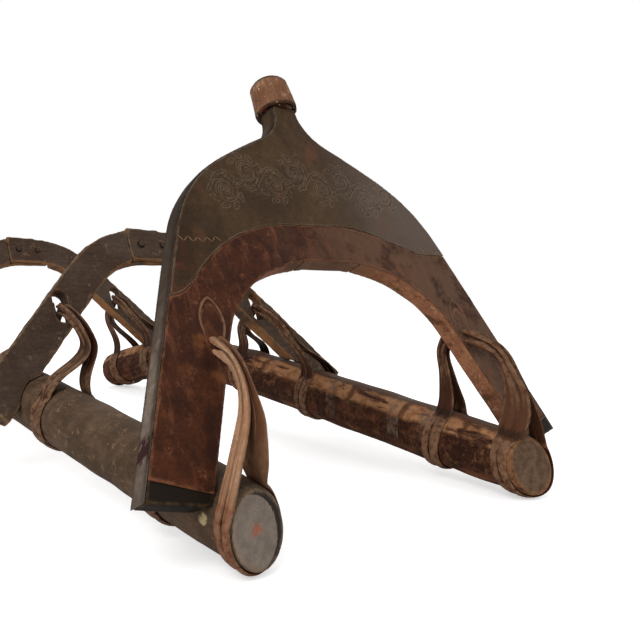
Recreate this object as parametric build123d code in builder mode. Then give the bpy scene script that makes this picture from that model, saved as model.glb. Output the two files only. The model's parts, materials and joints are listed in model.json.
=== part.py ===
from build123d import *
from math import acos, comb, cos, degrees, hypot, pi, radians, sin, tan
import os

# Camel saddle frame, millimetres. +X right, +Y back, +Z up.
# Origin on the floor, under the middle of the frame.
# Three arches lean back on two round poles and are tied to them with rawhide.

# The front arch's width and height set the rest of the frame
board_half_width = 241.0
board_height = 385.0

# Poles
pole_diameter = 58.0
pole_gauge_share = 1.3734
pole_straight = 428.4
pole_bow_radius = 1100.0
pole_rise_degrees = 5.0
pole_end_skew_degrees = 11.0
pole_end_rake_degrees = 22.0
front_rim = 3.0
back_rim = 1.0
worn_depth = 0.8

# Arches
arch_lean_degrees = 29.0
front_station = 12.4
middle_station = 348.4
rear_station = 734.4
leg_seat_clearance = 0.25

# Front arch board, measured in its own leaning plane from the pole axis up
board_thickness = 19.4
board_foot_level = 27.0
opening_height_share = 0.5571
opening_width_share = 0.7925
opening_foot_level = 16.0
neck_half_width = 13.5
crown_board_half_width = 35.0
shoulder_shares = ((0.683, 0.587), (0.606, 0.691), (0.494, 0.771), (0.336, 0.836), (0.187, 0.886))
neck_shares = ((0.108, 0.919), (0.066, 0.958))
arch_top_shares = ((0.738, 0.625), (0.67, 0.751), (0.576, 0.844), (0.393, 0.946), (0.147, 0.998))

# Whittled dowels across the joints of the front arch
dowel_diameter = 8.0
dowel_length = 44.0
dowel_clearance = 0.1
dowel_levels = (240.0, 295.0)
peg_sides = 8

# Leather on the front arch
upper_skin = 1.8
lower_skin = 1.3
skin_foot_outer = 43.0
skin_foot_inner = 29.0
seam_left_shares = ((0.66, 0.496), (0.53, 0.571), (0.35, 0.629))
seam_centre_share = 0.655
seam_right_shares = ((0.2, 0.652), (0.373, 0.621), (0.485, 0.6))
seam_left_end_share = 0.463
seam_left_turn_share = -0.76
seam_right_end_share = 0.592
seam_right_turn_share = 0.68
edge_strip = 1.5

# Knob
knob_diameter = 43.0
knob_top_diameter = 39.0
knob_height = 34.0
knob_edge = 2.0
knob_disc = 2.5
knob_disc_inset = 1.0
knob_sides = 28
tenon_diameter = 15.0
tenon_length = 24.0
tenon_clearance = 0.1

# Slender arches, middle and rear
band_width = 42.0
band_thickness = 18.0
band_width_share = 0.6782
band_foot_level = 3.0
band_height = 199.0
band_knee_shares = (0.521, 0.653)
band_shoulder_shares = (0.276, 0.925)
lap_half_length = 32.0
peg_diameter = 7.0
peg_spacing = 30.0
peg_clearance = 0.1
peg_head = 1.2

# Slots that the lashings pass through
slot_length = 38.0
slot_width = 15.0
front_slot_shares = (0.6349, 0.3818)
slender_slot_shares = (0.588, 0.5779)

# Rawhide lashings: each turn's front and rear edge, round the pole and in the slot
strap_thickness = 2.8
strap_gap = 0.6
strap_turns = (((-11.0, -8.0), (1.3, 1.2)), ((2.3, 0.4), (11.0, 8.0)))
strap_rake_degrees = 18.0
strand_half_gap = 2.6
strand_leave_degrees = 35.0
slot_meeting_gap = 2.6
front_strap_reach = -1.0
back_strap_reach = 92.0
middle_strap_reaches = (-34.0, 108.0)
rear_strap_reaches = (-34.0, 68.0)
fore_climb = 6.0
back_climb = 4.0
fore_reach_shares = (0.5, 0.29)
back_reach_shares = (0.4, 0.3)
strand_reach_shares = (0.4, 0.3)
ring_sides = 14
bend_sides = 4

overrun = 40.0

pole_radius = pole_diameter / 2
pole_gauge = pole_gauge_share * board_half_width
opening_half_width = opening_width_share * board_half_width
opening_height = opening_height_share * board_height
band_half_width = band_width_share * pole_gauge
front_slot = (front_slot_shares[0] * board_half_width, front_slot_shares[1] * board_height)
slender_slot = (slender_slot_shares[0] * band_half_width, slender_slot_shares[1] * band_height)
rise = radians(pole_rise_degrees)
skew = radians(pole_end_skew_degrees)
rake = radians(pole_end_rake_degrees)
strap_rake = radians(strap_rake_degrees)
lean = radians(arch_lean_degrees)

# The front straps and the back ends of the poles are worn flat on the floor
strap_radius = pole_radius + strap_gap + strap_thickness
lowest_station = front_station + front_strap_reach + strap_turns[0][0][0] - strap_radius * tan(strap_rake)
front_axis_height = strap_radius * cos(rise) - lowest_station * sin(rise) - worn_depth
end_slope = acos(
    (pole_bow_radius * cos(rise) - pole_straight * sin(rise) - front_axis_height - worn_depth)
    / (pole_bow_radius - pole_radius)
)
bow_degrees = pole_rise_degrees + degrees(end_slope)
front_reach = pole_radius * hypot(tan(rake) * cos(rise) - sin(rise), tan(skew) * cos(rise))
back_reach = (
    pole_straight * cos(rise)
    + pole_bow_radius * (sin(rise) + sin(end_slope))
    + pole_radius * sin(end_slope)
)
front_axis_y = (front_reach - back_reach) / 2


def pole_point(station):
    """Axis point (y, z) and slope of a pole at a distance along it."""
    run = min(station, pole_straight)
    y = front_axis_y + run * cos(rise)
    z = front_axis_height + run * sin(rise)
    slope = rise - (station - run) / pole_bow_radius
    y += pole_bow_radius * (sin(rise) - sin(slope))
    z += pole_bow_radius * (cos(slope) - cos(rise))
    return y, z, slope


def pole_solid(side, radius, margin):
    """A pole of the given radius, run past its front end by a margin."""
    start = Plane(
        origin=(side * pole_gauge / 2, front_axis_y, front_axis_height),
        x_dir=(0, cos(rise), sin(rise)),
        z_dir=(1, 0, 0),
    )
    with BuildPart() as pole:
        with BuildLine(start) as axis:
            Line((-margin, 0), (pole_straight, 0))
            JernArc((pole_straight, 0), (1, 0), pole_bow_radius, -bow_degrees)
        path = axis.wires()[0]
        with BuildSketch(Plane(origin=path @ 0, z_dir=path % 0)):
            Circle(radius)
        sweep(path=path)
    return pole.part


def arch_plane(station):
    """The leaning plane of an arch: X across, Y up the lean, facing the front."""
    y, z, _ = pole_point(station)
    return Plane(origin=(0, y, z), x_dir=(1, 0, 0), z_dir=(0, -cos(lean), sin(lean)))


def board_points(shares):
    """Outline points of the front arch from shares of its half width and height."""
    return [(x_share * board_half_width, y_share * board_height) for x_share, y_share in shares]


def opening_points(shares):
    """Outline points of the opening from shares of its half width and height."""
    return [(x_share * opening_half_width, y_share * opening_height) for x_share, y_share in shares]


def outer_edge(side):
    """Outer edge of the front arch on one side, from the neck down to the foot."""
    shoulder = [(side * x, y) for x, y in board_points(shoulder_shares)]
    neck = [(side * x, y) for x, y in board_points(neck_shares)]
    foot = (side * board_half_width, board_foot_level)
    neck_top = (side * neck_half_width, board_height)
    down = (shoulder[0][0] - foot[0], shoulder[0][1] - foot[1])
    Spline(neck_top, *neck[::-1], shoulder[-1], tangents=[(0, -1), (2 * side, -1)])
    Spline(*shoulder[::-1], tangents=[(2 * side, -1), (-down[0], -down[1])])
    Line(shoulder[0], foot)


def front_arch_face():
    """Front arch outline, legs, shoulders and neck, as one closed half and its mirror image."""
    inside = opening_points(arch_top_shares)
    foot = (board_half_width, board_foot_level)
    heel = (opening_half_width, opening_foot_level)
    jamb = (inside[0][0] - heel[0], inside[0][1] - heel[1])
    with BuildSketch() as face:
        with BuildLine():
            Line((0, opening_height), (0, board_height))
            Line((0, board_height), (neck_half_width, board_height))
            outer_edge(1)
            Line(foot, heel)
            Line(heel, inside[0])
            Spline(*inside, (0, opening_height), tangents=[jamb, (-1, 0)])
        make_face()
        mirror(about=Plane.YZ)
    return face.sketch


def slot_face(centre, side):
    """Upright slot for a lashing."""
    x, y = centre
    with BuildSketch() as face:
        with Locations((side * x, y)):
            SlotOverall(slot_length, slot_width, rotation=90)
    return face.sketch


outline = front_arch_face()
first_shoulder = board_points(shoulder_shares)[0]
leg_run = (board_half_width - first_shoulder[0], first_shoulder[1] - board_foot_level)
knee = (band_knee_shares[0] * band_half_width, band_knee_shares[1] * band_height)
slender_along = (knee[0] - band_half_width, knee[1] - band_foot_level)

os.makedirs("parts", exist_ok=True)


def save(piece, name):
    """Label a finished piece and write it under its name."""
    piece.part.label = name
    export_step(piece.part, f"parts/{name}.step")


# Poles
sides = {"left": -1, "right": 1}
seat_envelopes = {}
for name, side in sides.items():
    seat_envelopes[name] = pole_solid(side, pole_radius + leg_seat_clearance, overrun)
    facing = Plane(
        origin=(side * pole_gauge / 2, front_axis_y, front_axis_height),
        z_dir=(
            side * tan(skew),
            cos(rise) + tan(rake) * sin(rise),
            sin(rise) - tan(rake) * cos(rise),
        ),
    )
    with BuildPart() as pole:
        add(pole_solid(side, pole_radius, overrun))
        split(bisect_by=facing, keep=Keep.TOP)
        rims = pole.edges().sort_by(Axis.Y)
        chamfer(rims[0], front_rim)
        chamfer(pole.edges().sort_by(Axis.Y)[-1], back_rim)
        split(bisect_by=Plane.XY, keep=Keep.TOP)
    save(pole, f"pole_{name}")

# Front arch boards
front_plane = arch_plane(front_station)


def joint_point(side, level):
    """Middle of the board's thickness at a joint with the crown board, or at the centre for side 0."""
    return front_plane.from_local_coords((side * crown_board_half_width, level, -board_thickness / 2))


for name, side in sides.items():
    with BuildPart() as leg:
        with BuildSketch(front_plane):
            add(outline)
            with Locations((side * (crown_board_half_width + board_half_width), board_height / 2)):
                Rectangle(2 * board_half_width, 2 * board_height, mode=Mode.INTERSECT)
            add(slot_face(front_slot, side), mode=Mode.SUBTRACT)
        extrude(amount=-board_thickness)
        add(seat_envelopes[name], mode=Mode.SUBTRACT)
        for level in dowel_levels:
            with BuildSketch(Plane(origin=joint_point(side, level), z_dir=(side, 0, 0))):
                Circle(dowel_diameter / 2 + dowel_clearance)
            extrude(amount=dowel_length / 2 + dowel_clearance, mode=Mode.SUBTRACT)
    save(leg, f"front_arch_leg_{name}")

with BuildPart() as crown:
    with BuildSketch(front_plane):
        add(outline)
        with Locations((0, board_height / 2)):
            Rectangle(2 * crown_board_half_width, 2 * board_height, mode=Mode.INTERSECT)
    extrude(amount=-board_thickness)
    neck_top = Plane(
        origin=front_plane.from_local_coords((0, board_height, -board_thickness / 2)),
        x_dir=(1, 0, 0),
        z_dir=front_plane.y_dir,
    )
    with BuildSketch(neck_top):
        Circle(tenon_diameter / 2)
    extrude(amount=tenon_length)
    for level in dowel_levels:
        with BuildSketch(Plane(origin=joint_point(0, level), z_dir=(1, 0, 0))):
            Circle(dowel_diameter / 2 + dowel_clearance)
        extrude(amount=crown_board_half_width, both=True, mode=Mode.SUBTRACT)
        with BuildSketch(Plane(origin=joint_point(0, level), z_dir=(1, 0, 0))):
            Circle(dowel_diameter / 2 + 2 * dowel_clearance)
        extrude(amount=crown_board_half_width - dowel_length / 2, both=True)
save(crown, "front_arch_crown")

with BuildPart() as dowels:
    for side in sides.values():
        for level in dowel_levels:
            with BuildSketch(Plane(origin=joint_point(side, level), z_dir=(1, 0, 0))):
                RegularPolygon(dowel_diameter / 2, peg_sides)
            extrude(amount=dowel_length / 2, both=True)
save(dowels, "front_arch_dowels")

# Hand-cut knob on the neck's tenon, with a thin disc let onto its top
knob_radius = knob_diameter / 2
knob_top_radius = knob_top_diameter / 2
with BuildPart() as knob:
    for level, radius in (
        (0, knob_radius - knob_edge),
        (knob_edge, knob_radius),
        (knob_height - knob_edge, knob_top_radius),
        (knob_height, knob_top_radius - knob_edge),
    ):
        with BuildSketch(neck_top.offset(level)):
            RegularPolygon(radius, knob_sides)
    loft(ruled=True)
    with BuildSketch(neck_top):
        Circle(tenon_diameter / 2 + tenon_clearance)
    extrude(amount=tenon_length + tenon_clearance, mode=Mode.SUBTRACT)
save(knob, "front_knob")

with BuildPart() as knob_cap:
    with BuildSketch(neck_top.offset(knob_height)):
        RegularPolygon(knob_top_radius - knob_disc_inset - knob_edge, knob_sides)
    extrude(amount=knob_disc)
    chamfer(knob_cap.faces().sort_by(Axis(neck_top.origin, neck_top.z_dir))[-1].edges(), knob_disc / 2)
save(knob_cap, "front_knob_cap")

# Leather on the front arch
seam_left = [(-x, y) for x, y in board_points(seam_left_shares)]
seam_right = board_points(seam_right_shares)
far = board_half_width + overrun
with BuildSketch() as above_seam:
    with BuildLine():
        left_end = (-far, seam_left_end_share * board_height)
        left_turn = (seam_left_turn_share * board_half_width, seam_left_end_share * board_height)
        right_turn = (seam_right_turn_share * board_half_width, seam_right_end_share * board_height)
        right_end = (far, seam_right_end_share * board_height)
        Line(left_end, left_turn)
        Spline(
            left_turn,
            *seam_left,
            (0, seam_centre_share * board_height),
            *seam_right,
            right_turn,
            tangents=[(1, 0), (1, 0)],
        )
        Line(right_turn, right_end)
        Line(right_end, (far, board_height + overrun))
        Line((far, board_height + overrun), (-far, board_height + overrun))
        Line((-far, board_height + overrun), left_end)
    make_face()

with BuildPart() as skin_upper:
    with BuildSketch(front_plane):
        add(outline)
        add(above_seam.sketch, mode=Mode.INTERSECT)
    extrude(amount=upper_skin)
save(skin_upper, "front_skin_upper")

with BuildPart() as skin_lower:
    with BuildSketch(front_plane):
        add(outline)
        add(above_seam.sketch, mode=Mode.SUBTRACT)
        for side in sides.values():
            add(slot_face(front_slot, side), mode=Mode.SUBTRACT)
            with BuildLine():
                Polyline(
                    (side * far, skin_foot_outer + (far - board_half_width) * leg_run[0] / leg_run[1]),
                    (0, skin_foot_inner - opening_half_width * leg_run[0] / leg_run[1]),
                    (0, -far),
                    (side * far, -far),
                    close=True,
                )
            make_face(mode=Mode.SUBTRACT)
    extrude(amount=lower_skin)
    for name in sides:
        add(seat_envelopes[name], mode=Mode.SUBTRACT)
save(skin_lower, "front_skin_lower")

for name, side in sides.items():
    with BuildSketch() as rim:
        with BuildLine():
            outer_edge(side)
        trace(line_width=2 * edge_strip)
        add(outline, mode=Mode.SUBTRACT)
    with BuildPart() as strip:
        with BuildSketch(front_plane):
            add(rim.faces().sort_by(SortBy.AREA)[-1])
        extrude(amount=-board_thickness)
    save(strip, f"front_edge_strip_{name}")

# Slender arches, each of two halves lapped at the crown and pegged
for arch, station in {"middle": middle_station, "rear": rear_station}.items():
    plane = arch_plane(station)
    lap_plane = plane.offset(-band_thickness / 2)
    for name, side in sides.items():
        with BuildPart() as half:
            with BuildSketch(plane):
                with BuildLine():
                    foot = (side * band_half_width, band_foot_level)
                    bend = (side * knee[0], knee[1])
                    shoulder = (
                        side * band_shoulder_shares[0] * band_half_width,
                        band_shoulder_shares[1] * band_height,
                    )
                    Line(foot, bend)
                    Spline(
                        bend,
                        shoulder,
                        (0, band_height),
                        tangents=[(side * slender_along[0], slender_along[1]), (-side, 0)],
                    )
                    Line((0, band_height), (-side * lap_half_length, band_height))
                trace(line_width=band_width)
                add(slot_face(slender_slot, side), mode=Mode.SUBTRACT)
            extrude(amount=-band_thickness)
            with BuildSketch(plane if side < 0 else lap_plane):
                with Locations((0, band_height)):
                    Rectangle(2 * lap_half_length, 2 * band_width)
            extrude(amount=-band_thickness / 2, mode=Mode.SUBTRACT)
            with BuildSketch(plane):
                with Locations((-peg_spacing / 2, band_height), (peg_spacing / 2, band_height)):
                    Circle(peg_diameter / 2 + peg_clearance)
            extrude(amount=-band_thickness, mode=Mode.SUBTRACT)
            add(seat_envelopes[name], mode=Mode.SUBTRACT)
        save(half, f"{arch}_arch_{name}")
    with BuildPart() as pegs:
        with BuildSketch(plane.offset(peg_head)):
            with Locations((-peg_spacing / 2, band_height), (peg_spacing / 2, band_height)):
                RegularPolygon(peg_diameter / 2, peg_sides)
        extrude(amount=-band_thickness - 2 * peg_head)
    save(pegs, f"{arch}_arch_pegs")


def bend_points(start, way_out, end, way_in, reach_shares):
    """Points of an even bend between two places and directions, both ends included."""
    span = hypot(end[0] - start[0], end[1] - start[1])
    points = []
    first = span * reach_shares[0] / hypot(*way_out)
    last = span * reach_shares[1] / hypot(*way_in)
    guides = (
        start,
        (start[0] + first * way_out[0], start[1] + first * way_out[1]),
        (end[0] - last * way_in[0], end[1] - last * way_in[1]),
        end,
    )
    for step in range(bend_sides + 1):
        run = step / bend_sides
        weights = [comb(3, order) * run**order * (1 - run) ** (3 - order) for order in range(4)]
        points.append(tuple(sum(w * guide[axis] for w, guide in zip(weights, guides)) for axis in (0, 1)))
    return points


def strand_face(radius, half_gap, slot_x, slot_v):
    """Outline of a strap round the pole and up to its slot, seen along the pole."""
    leave = radians(strand_leave_degrees)
    sweep_angle = pi + 2 * leave
    turns = [pi - leave + sweep_angle * step / ring_sides for step in range(ring_sides + 1)]
    ring = [(radius * cos(turn), radius * sin(turn)) for turn in turns]
    neck_v = slot_v - slot_length / 2
    right = bend_points(
        ring[-1], (-sin(leave), cos(leave)), (slot_x + half_gap, neck_v), (0, 1), strand_reach_shares
    )
    left = bend_points(
        ring[0], (sin(leave), cos(leave)), (slot_x - half_gap, neck_v), (0, 1), strand_reach_shares
    )
    top_v = slot_v + slot_length
    top = [(slot_x + half_gap, top_v), (slot_x - half_gap, top_v)]
    with BuildSketch() as face:
        with BuildLine():
            Polyline(*ring, *right[1:], *top, *left[:0:-1], close=True)
        make_face()
    return face.sketch


def lashing(name, side, station, slot, depths, reach, fore):
    """Two turns of a rawhide strap round the pole, both led into the slot of the leg."""
    y, z, slope = pole_point(station + reach)
    axis_point = Vector(side * pole_gauge / 2, y, z)
    along = Vector(0, cos(slope), sin(slope))
    upward = Vector(0, -sin(slope), cos(slope))
    arch = arch_plane(station)
    at_end = reach == front_strap_reach
    end_skew = -side * skew if at_end else 0
    tilt = tan(strap_rake) if at_end else 0
    skewed = Vector(cos(end_skew), 0, 0) + along * sin(end_skew)
    climb = fore_climb if fore else back_climb
    mouth_depth, end_depth = depths

    def side_view(rank, depth):
        """A point inside the slot, seen from the side of the pole."""
        point = arch.from_local_coords((side * slot[0], slot[1] + rank, -depth)) - axis_point
        return point.dot(along) - point.X * tan(end_skew), point.dot(upward)

    slot_x = side * (slot[0] - pole_gauge / 2)
    slot_v = side_view(0, end_depth)[1]
    low = -strap_radius - strap_thickness
    with BuildPart() as strap:
        for turn in strap_turns:
            edges = []
            for start, in_slot in turn:
                rank = -in_slot if fore else in_slot
                mouth = side_view(rank - climb / 2, mouth_depth)
                end = side_view(rank + climb / 2, end_depth)
                way_in = (end[0] - mouth[0], end[1] - mouth[1])
                shares = fore_reach_shares if fore else back_reach_shares
                bend = bend_points((start, 0), (tilt, 1), mouth, way_in, shares)
                edges.append([(start + low * tilt, low), *bend, end])
            with BuildSketch(Plane(origin=axis_point, x_dir=along, z_dir=(1, 0, 0))):
                with BuildLine():
                    Polyline(*edges[0], *edges[1][::-1], close=True)
                make_face()
            extrude(amount=2 * slot[0], dir=skewed, both=True)
        with BuildSketch(Plane(origin=axis_point, x_dir=(1, 0, 0), z_dir=-along)):
            add(strand_face(strap_radius, strand_half_gap + strap_thickness, slot_x, slot_v))
            add(
                strand_face(strap_radius - strap_thickness, strand_half_gap, slot_x, slot_v),
                mode=Mode.SUBTRACT,
            )
        extrude(amount=2 * board_height, both=True, mode=Mode.INTERSECT)
        split(bisect_by=Plane.XY, keep=Keep.TOP)
    save(strap, name)


turn_gap = strap_turns[1][0][0] - strap_turns[0][1][0]
print("least gap between the turns of a lashing round its pole, mm:", round(turn_gap, 2))

straps = {
    "front": (front_station, front_slot, board_thickness, (front_strap_reach, back_strap_reach)),
    "middle": (middle_station, slender_slot, band_thickness, middle_strap_reaches),
    "rear": (rear_station, slender_slot, band_thickness, rear_strap_reaches),
}
for arch, (station, slot, thickness, reaches) in straps.items():
    half = (thickness - slot_meeting_gap) / 2
    for name, side in sides.items():
        lashing(f"lashing_{arch}_{name}_fore", side, station, slot, (0, half), reaches[0], True)
        back_depths = (thickness, thickness - half)
        lashing(f"lashing_{arch}_{name}_back", side, station, slot, back_depths, reaches[1], False)
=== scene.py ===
import json
import math

import bmesh
import bpy
import numpy as np
from mathutils import Euler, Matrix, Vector, kdtree


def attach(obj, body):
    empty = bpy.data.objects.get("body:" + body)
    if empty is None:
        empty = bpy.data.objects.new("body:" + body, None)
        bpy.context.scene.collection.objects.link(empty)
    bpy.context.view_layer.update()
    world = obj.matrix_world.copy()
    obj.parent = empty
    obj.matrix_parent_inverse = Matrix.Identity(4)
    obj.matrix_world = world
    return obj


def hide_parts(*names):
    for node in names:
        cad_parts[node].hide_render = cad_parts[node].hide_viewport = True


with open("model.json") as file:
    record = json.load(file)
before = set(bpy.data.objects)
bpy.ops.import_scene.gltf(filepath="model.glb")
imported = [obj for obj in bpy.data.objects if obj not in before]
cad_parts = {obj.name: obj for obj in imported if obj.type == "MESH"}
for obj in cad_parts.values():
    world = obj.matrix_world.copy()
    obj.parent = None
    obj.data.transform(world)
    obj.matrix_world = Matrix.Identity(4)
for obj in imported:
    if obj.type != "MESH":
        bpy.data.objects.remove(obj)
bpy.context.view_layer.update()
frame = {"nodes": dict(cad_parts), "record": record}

# Sizes shared with the frame, metres and radians
pole_gauge = 0.331
rise = math.radians(5)
lean = math.radians(29)
pole_straight = 0.4284
pole_bow_radius = 1.100
pole_end_skew = math.radians(11)
strap_rake = math.radians(18)
front_axis = Vector((0, -0.419064, 0.032359))
board_height = 0.385
board_thickness = 0.0194
crown_board_half_width = 0.035
band_thickness = 0.018
stations = {"front": 0.0124, "middle": 0.3484, "rear": 0.7344}
slots = {"front": (0.1530, 0.1470), "middle": (0.1320, 0.1150), "rear": (0.1320, 0.1150)}
front_slot_x, front_slot_level = slots["front"]
slot_length = 0.038
knob_height = 0.034
strap_thickness = 0.0028
strap_radius = 0.0324
strap_reaches = {"front": (-0.001, 0.092), "middle": (-0.034, 0.108), "rear": (-0.034, 0.068)}
sides = {"left": -1, "right": 1}

# Front and rear edge of each turn of a strap, round the pole and then in the slot: at most places,
# and at the poles' skewed front ends
strap_turns = (((-0.011, -0.008), (0.0013, 0.0012)), ((0.0023, 0.0004), (0.011, 0.008)))
end_turns = (((-0.0111, -0.0020), (-0.0013, 0.0058)), ((-0.0006, 0.0052), (0.0074, 0.0150)))

across = Vector((1, 0, 0))
up_lean = Vector((0, math.sin(lean), math.cos(lean)))
to_front = Vector((0, -math.cos(lean), math.sin(lean)))
arch_axes = np.array([across, up_lean, to_front])


def pole_point(station):
    """Axis point and slope of a pole at a distance along it."""
    run = min(station, pole_straight)
    slope = rise - (station - run) / pole_bow_radius
    y = front_axis.y + run * math.cos(rise) + pole_bow_radius * (math.sin(rise) - math.sin(slope))
    z = front_axis.z + run * math.sin(rise) + pole_bow_radius * (math.cos(slope) - math.cos(rise))
    return Vector((0, y, z)), slope


arch_origins = {arch: pole_point(station)[0] for arch, station in stations.items()}


def in_arch(points, arch):
    """World points as across, up the lean and out to the front of an arch's plane."""
    return (points - np.array(arch_origins[arch])) @ arch_axes.T


def out_of_arch(points, arch):
    """Points of an arch's plane as world points."""
    return np.array(arch_origins[arch]) + np.asarray(points) @ arch_axes


# Photographer's view
lens = bpy.data.cameras.new("photo_view")
lens.sensor_fit = "HORIZONTAL"
lens.sensor_width = 36
lens.lens = 45
lens.clip_start = 0.01
camera = bpy.data.objects.new("photo_view", lens)
camera.location = (-0.500858, -0.846620, 0.212251)
camera.rotation_euler = Euler([math.radians(angle) for angle in (86.5114, -2.3332, -41.7444)])
bpy.context.collection.objects.link(camera)
bpy.context.scene.camera = camera


# Shared effects, as shader node groups
def shader_group(name, inputs, outputs):
    """An empty shader node group with named number, colour and direction sockets."""
    group = bpy.data.node_groups.new(name, "ShaderNodeTree")
    kinds = {"number": "NodeSocketFloat", "colour": "NodeSocketColor", "direction": "NodeSocketVector"}
    for socket, kind, value in inputs:
        made = group.interface.new_socket(name=socket, in_out="INPUT", socket_type=kinds[kind])
        if value is not None:
            made.default_value = value
    for socket, kind in outputs:
        group.interface.new_socket(name=socket, in_out="OUTPUT", socket_type=kinds[kind])
    start = group.nodes.new("NodeGroupInput")
    end = group.nodes.new("NodeGroupOutput")
    return group, start, end


def linear(code):
    """A colour written as it looks, RRGGBB, as the shader counts it."""
    values = [int(code[i : i + 2], 16) / 255 for i in (0, 2, 4)]
    return tuple(v / 12.92 if v <= 0.04045 else ((v + 0.055) / 1.055) ** 2.4 for v in values) + (1,)


class Nodes:
    """Adds and joins the nodes of one tree."""

    def __init__(self, tree):
        self.tree = tree

    def add(self, kind, settings=None, **inputs):
        node = self.tree.nodes.new(kind)
        for key, value in (settings or {}).items():
            setattr(node, key, value)
        for key, value in inputs.items():
            self.put(node, key.replace("_", " "), value)
        return node

    def put(self, node, socket, value):
        place = node.inputs[int(socket)] if socket.isdigit() else node.inputs[socket]
        if isinstance(value, bpy.types.NodeSocket):
            self.tree.links.new(value, place)
        else:
            place.default_value = value

    def math(self, what, first, second=0.0, clamp=False):
        node = self.tree.nodes.new("ShaderNodeMath")
        node.operation = what
        node.use_clamp = clamp
        self.put(node, "0", first)
        self.put(node, "1", second)
        return node.outputs[0]

    def steps(self, value, low, high, start=0.0, end=1.0):
        node = self.tree.nodes.new("ShaderNodeMapRange")
        node.interpolation_type = "SMOOTHSTEP"
        for socket, number in (("Value", value), ("From Min", low), ("From Max", high)):
            self.put(node, socket, number)
        self.put(node, "To Min", start)
        self.put(node, "To Max", end)
        return node.outputs["Result"]

    def blend(self, share, first, second, how="MIX"):
        node = self.tree.nodes.new("ShaderNodeMix")
        node.data_type = "RGBA"
        node.blend_type = how
        self.put(node, "0", share)
        self.put(node, "6", first)
        self.put(node, "7", second)
        return node.outputs[2]

    def shade(self, colour, tone):
        """A colour made lighter or darker by a number that varies."""
        grey = self.add("ShaderNodeCombineColor")
        for channel in range(3):
            self.put(grey, str(channel), tone)
        return self.blend(1.0, colour, grey.outputs[0], "MULTIPLY")

    def noise(self, where, scale, detail=4.0, roughness=0.55, distortion=0.0):
        node = self.add("ShaderNodeTexNoise", Scale=scale, Detail=detail, Roughness=roughness,
                        Distortion=distortion)
        self.put(node, "Vector", where)
        return node.outputs[0]

    def mapping(self, where, scale=(1, 1, 1), place=(0, 0, 0), turn=(0, 0, 0)):
        node = self.add("ShaderNodeMapping", Scale=scale, Location=place, Rotation=turn)
        self.put(node, "Vector", where)
        return node.outputs[0]

    def mask(self, name):
        """A number stored on the mesh."""
        return self.add("ShaderNodeAttribute", {"attribute_name": name}).outputs["Fac"]

    def parts(self, where):
        """The three numbers of a place."""
        node = self.add("ShaderNodeSeparateXYZ")
        self.put(node, "0", where)
        return node.outputs

    def times(self, first, second):
        """The product of two numbers."""
        return self.math("MULTIPLY", first, second)

    def apart(self, value, middle):
        """How far a number is from a middle one."""
        return self.math("ABSOLUTE", self.math("SUBTRACT", value, middle))

    def tint(self, colour, share, code):
        """A written colour laid over another by a share."""
        return self.blend(share, colour, linear(code))

    def spots(self, where, scale, low, high, amount=1.0, detail=5, roughness=0.7, least=0.0):
        """Uneven spots: the least share where the noise is below low, the amount above high."""
        return self.steps(self.noise(where, scale, detail, roughness), low, high, least, amount)


def patches_group():
    """Mottled colour: two tones in large soft patches, a third in small worn spots."""
    group, start, end = shader_group(
        "mottled_patches",
        [("Where", "direction", None), ("First", "colour", None), ("Second", "colour", None),
         ("Worn", "colour", None), ("Patch Scale", "number", 12.0), ("Spot Scale", "number", 90.0),
         ("Spot Amount", "number", 0.4)],
        [("Colour", "colour"), ("Mask", "number")],
    )
    make = Nodes(group)
    take = start.outputs
    large = make.noise(take["Where"], take["Patch Scale"], 6, 0.6, 0.4)
    small = make.noise(take["Where"], take["Spot Scale"], 5, 0.65, 0.2)
    fine = make.noise(take["Where"], make.times(take["Spot Scale"], 4.7), 3, 0.7)
    base = make.blend(make.steps(large, 0.38, 0.62), take["First"], take["Second"])
    edge = make.math("SUBTRACT", 0.78, make.times(take["Spot Amount"], 0.45))
    mixed = make.math("ADD", make.times(small, 0.7), make.times(fine, 0.3))
    mask = make.steps(mixed, edge, make.math("ADD", edge, 0.12))
    colour = make.blend(mask, base, take["Worn"])
    colour = make.shade(colour, make.steps(fine, 0.3, 0.72, 0.84, 1.12))
    group.links.new(colour, end.inputs["Colour"])
    group.links.new(mask, end.inputs["Mask"])
    return group


def relief_group():
    """Relief of old wood or hide: long fibres, fine pores and shallow dents, as a height."""
    group, start, end = shader_group(
        "worn_relief",
        [("Where", "direction", None), ("Fibre Stretch", "direction", (8, 1, 8)),
         ("Fibre Scale", "number", 60.0), ("Pore Scale", "number", 900.0), ("Dent Scale", "number", 40.0),
         ("Fibre", "number", 0.5), ("Pore", "number", 0.3), ("Dent", "number", 0.5)],
        [("Height", "number"), ("Fibres", "number")],
    )
    make = Nodes(group)
    take = start.outputs
    stretched = make.add("ShaderNodeVectorMath", {"operation": "MULTIPLY"})
    make.put(stretched, "0", take["Where"])
    make.put(stretched, "1", take["Fibre Stretch"])
    fibres = make.noise(stretched.outputs[0], take["Fibre Scale"], 5, 0.7, 0.6)
    cells = make.add("ShaderNodeTexVoronoi")
    make.put(cells, "Vector", take["Where"])
    make.put(cells, "Scale", take["Pore Scale"])
    dents = make.noise(take["Where"], take["Dent Scale"], 3, 0.5, 0.3)
    height = make.times(fibres, take["Fibre"])
    height = make.math("ADD", height, make.times(cells.outputs["Distance"], take["Pore"]))
    height = make.math("ADD", height, make.times(dents, take["Dent"]))
    group.links.new(height, end.inputs["Height"])
    group.links.new(fibres, end.inputs["Fibres"])
    return group


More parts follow.
